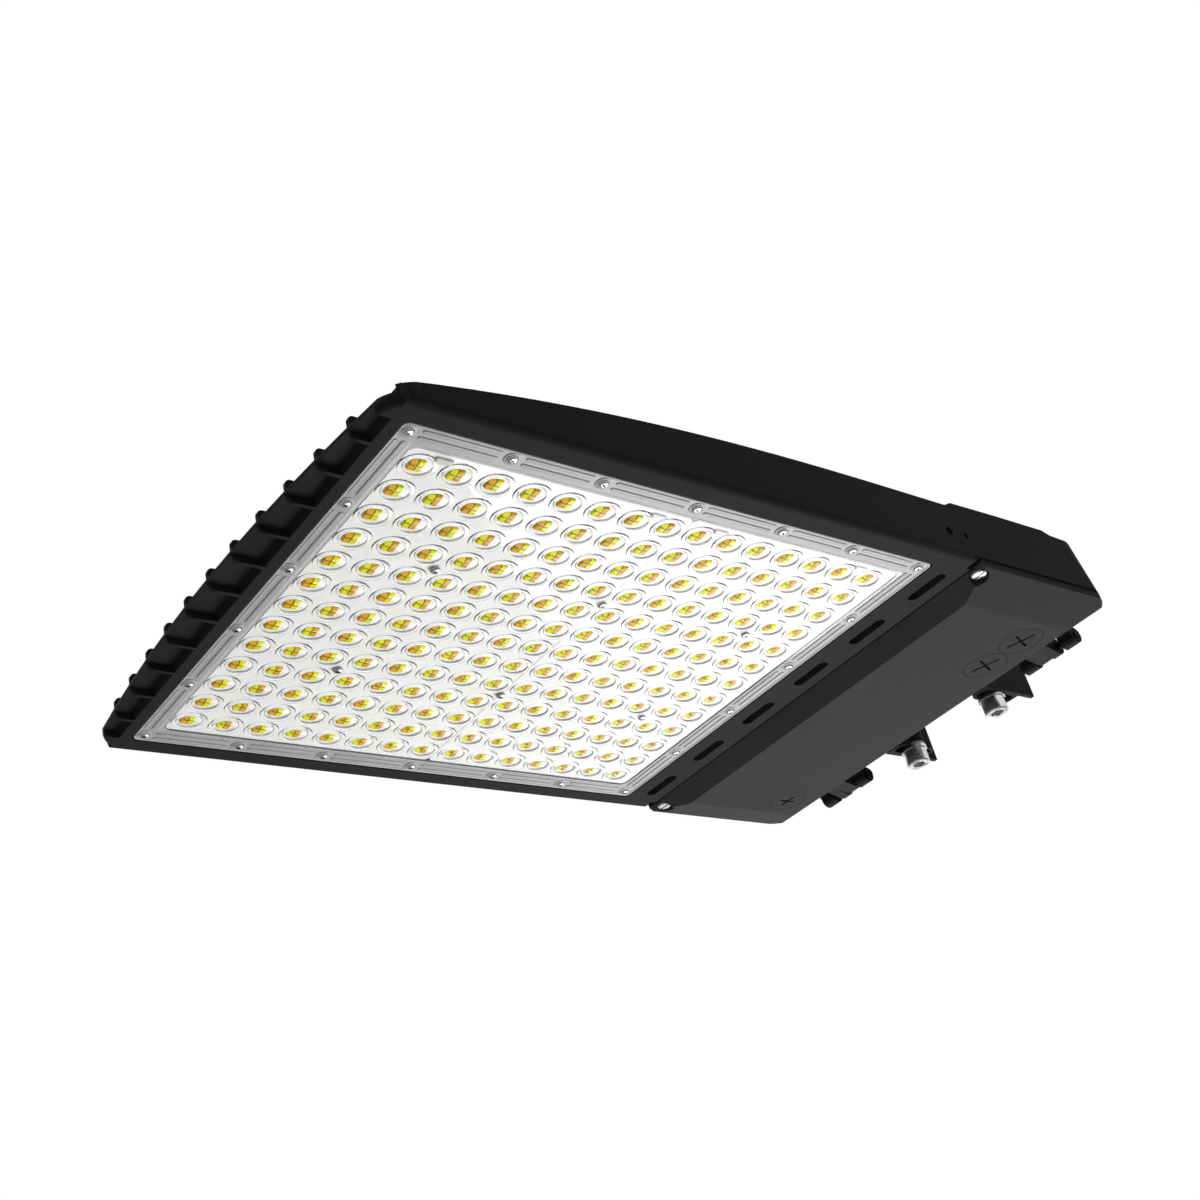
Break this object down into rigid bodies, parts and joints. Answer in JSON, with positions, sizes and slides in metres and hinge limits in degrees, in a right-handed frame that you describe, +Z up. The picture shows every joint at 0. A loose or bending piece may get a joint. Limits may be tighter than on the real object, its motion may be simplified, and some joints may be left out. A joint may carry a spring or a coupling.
{
  "type": "shoebox area light",
  "caption": "Flat LED area light with a clear multi-lens plate, finned cast housing, hinged driver bay door and a rear two-bolt arm mount.",
  "frame": {"origin": "midway between the two arm bolts, on the face of the cast pads that the arm sits on", "axes": "+Z up, away from the lit ground; +Y towards the arm and pole; +X to the side with the two larger plugs"},
  "size_m": [0.309, 0.578, 0.0513],
  "materials": {
    "casting": "dark bronze-black powder coat, fine grain",
    "lens": "clear moulded lens plate over a white field",
    "seal": "black silicone",
    "board": "white solder mask",
    "amber": "amber phosphor package",
    "yellow": "yellow phosphor package",
    "white_plastic": "white moulded plastic",
    "stainless": "bright stainless steel",
    "spring_steel": "darker spring steel",
    "black_steel": "blackened steel pin",
    "driver_case": "bare aluminium case",
    "black_plastic": "black plastic",
    "green_steel": "green earth screw",
    "sheet": "bent sheet",
    "blue_plastic": "blue switch body"
  },
  "bodies": {
    "housing": {"housing": "casting", "lens_plate": "lens", "lens_gasket": "seal", "led_board_front": "board", "led_board_rear": "board", "led_chips_amber": "amber", "led_chips_yellow": "yellow", "board_connectors": "white_plastic", "rim_screws": "stainless", "field_screws": "stainless", "hinge_pin_near": "black_steel", "hinge_pin_far": "black_steel", "arm_bolts": "stainless", "flat_washers": "stainless", "spring_washers": "spring_steel", "driver": "driver_case", "driver_screws": "stainless", "surge_protector": "black_plastic", "surge_screws": "stainless", "terminal_block": "white_plastic", "terminal_screws": "stainless", "ground_screw": "green_steel", "selector_bracket": "sheet", "bracket_screws": "stainless", "power_switch": "blue_plastic", "colour_switch": "blue_plastic", "sensor_socket": "black_plastic", "sensor_bracket": "sheet", "wire_grommet": "seal", "led_cable": "white_plastic", "input_wires": "black_plastic"},
    "door": {"door": "casting", "door_gasket": "seal"},
    "door_screw_near": {"door_screw_near": "stainless", "screw_retainer_near": "spring_steel"},
    "door_screw_far": {"door_screw_far": "stainless", "screw_retainer_far": "spring_steel"},
    "plug_power": {"plug_power": "casting", "oring_power": "seal"},
    "plug_colour": {"plug_colour": "casting", "oring_colour": "seal"},
    "plug_sensor": {"plug_sensor": "casting", "oring_sensor": "seal"},
    "power_knob": {"power_knob": "white_plastic"},
    "colour_knob": {"colour_knob": "white_plastic"}
  },
  "joints": [
    {"name": "door_hinge", "type": "hinge", "parent": "housing", "child": "door", "pos_m": [0, -0.009, -0.0125], "axis": [1, 0, 0], "range_deg": [0, 90]},
    {"name": "door_screw_near_turn", "type": "hinge", "parent": "door", "child": "door_screw_near", "pos_m": [0.145, -0.1405, -0.012], "axis": [0, 0, 1], "continuous": true},
    {"name": "door_screw_far_turn", "type": "hinge", "parent": "door", "child": "door_screw_far", "pos_m": [-0.145, -0.1405, -0.012], "axis": [0, 0, 1], "continuous": true},
    {"name": "plug_power_out", "type": "slide", "parent": "door", "child": "plug_power", "axis": [0, 0, -1], "range_m": [0, 0.02]},
    {"name": "plug_colour_out", "type": "slide", "parent": "door", "child": "plug_colour", "axis": [0, 0, -1], "range_m": [0, 0.02]},
    {"name": "plug_sensor_out", "type": "slide", "parent": "door", "child": "plug_sensor", "axis": [0, 0, -1], "range_m": [0, 0.02]},
    {"name": "power_select", "type": "hinge", "parent": "housing", "child": "power_knob", "pos_m": [0.107, -0.0595, -0.006], "axis": [0, 0, 1], "range_deg": [-60, 60]},
    {"name": "colour_select", "type": "hinge", "parent": "housing", "child": "colour_knob", "pos_m": [0.0775, -0.0595, -0.006], "axis": [0, 0, 1], "range_deg": [-60, 60]}
  ]
}
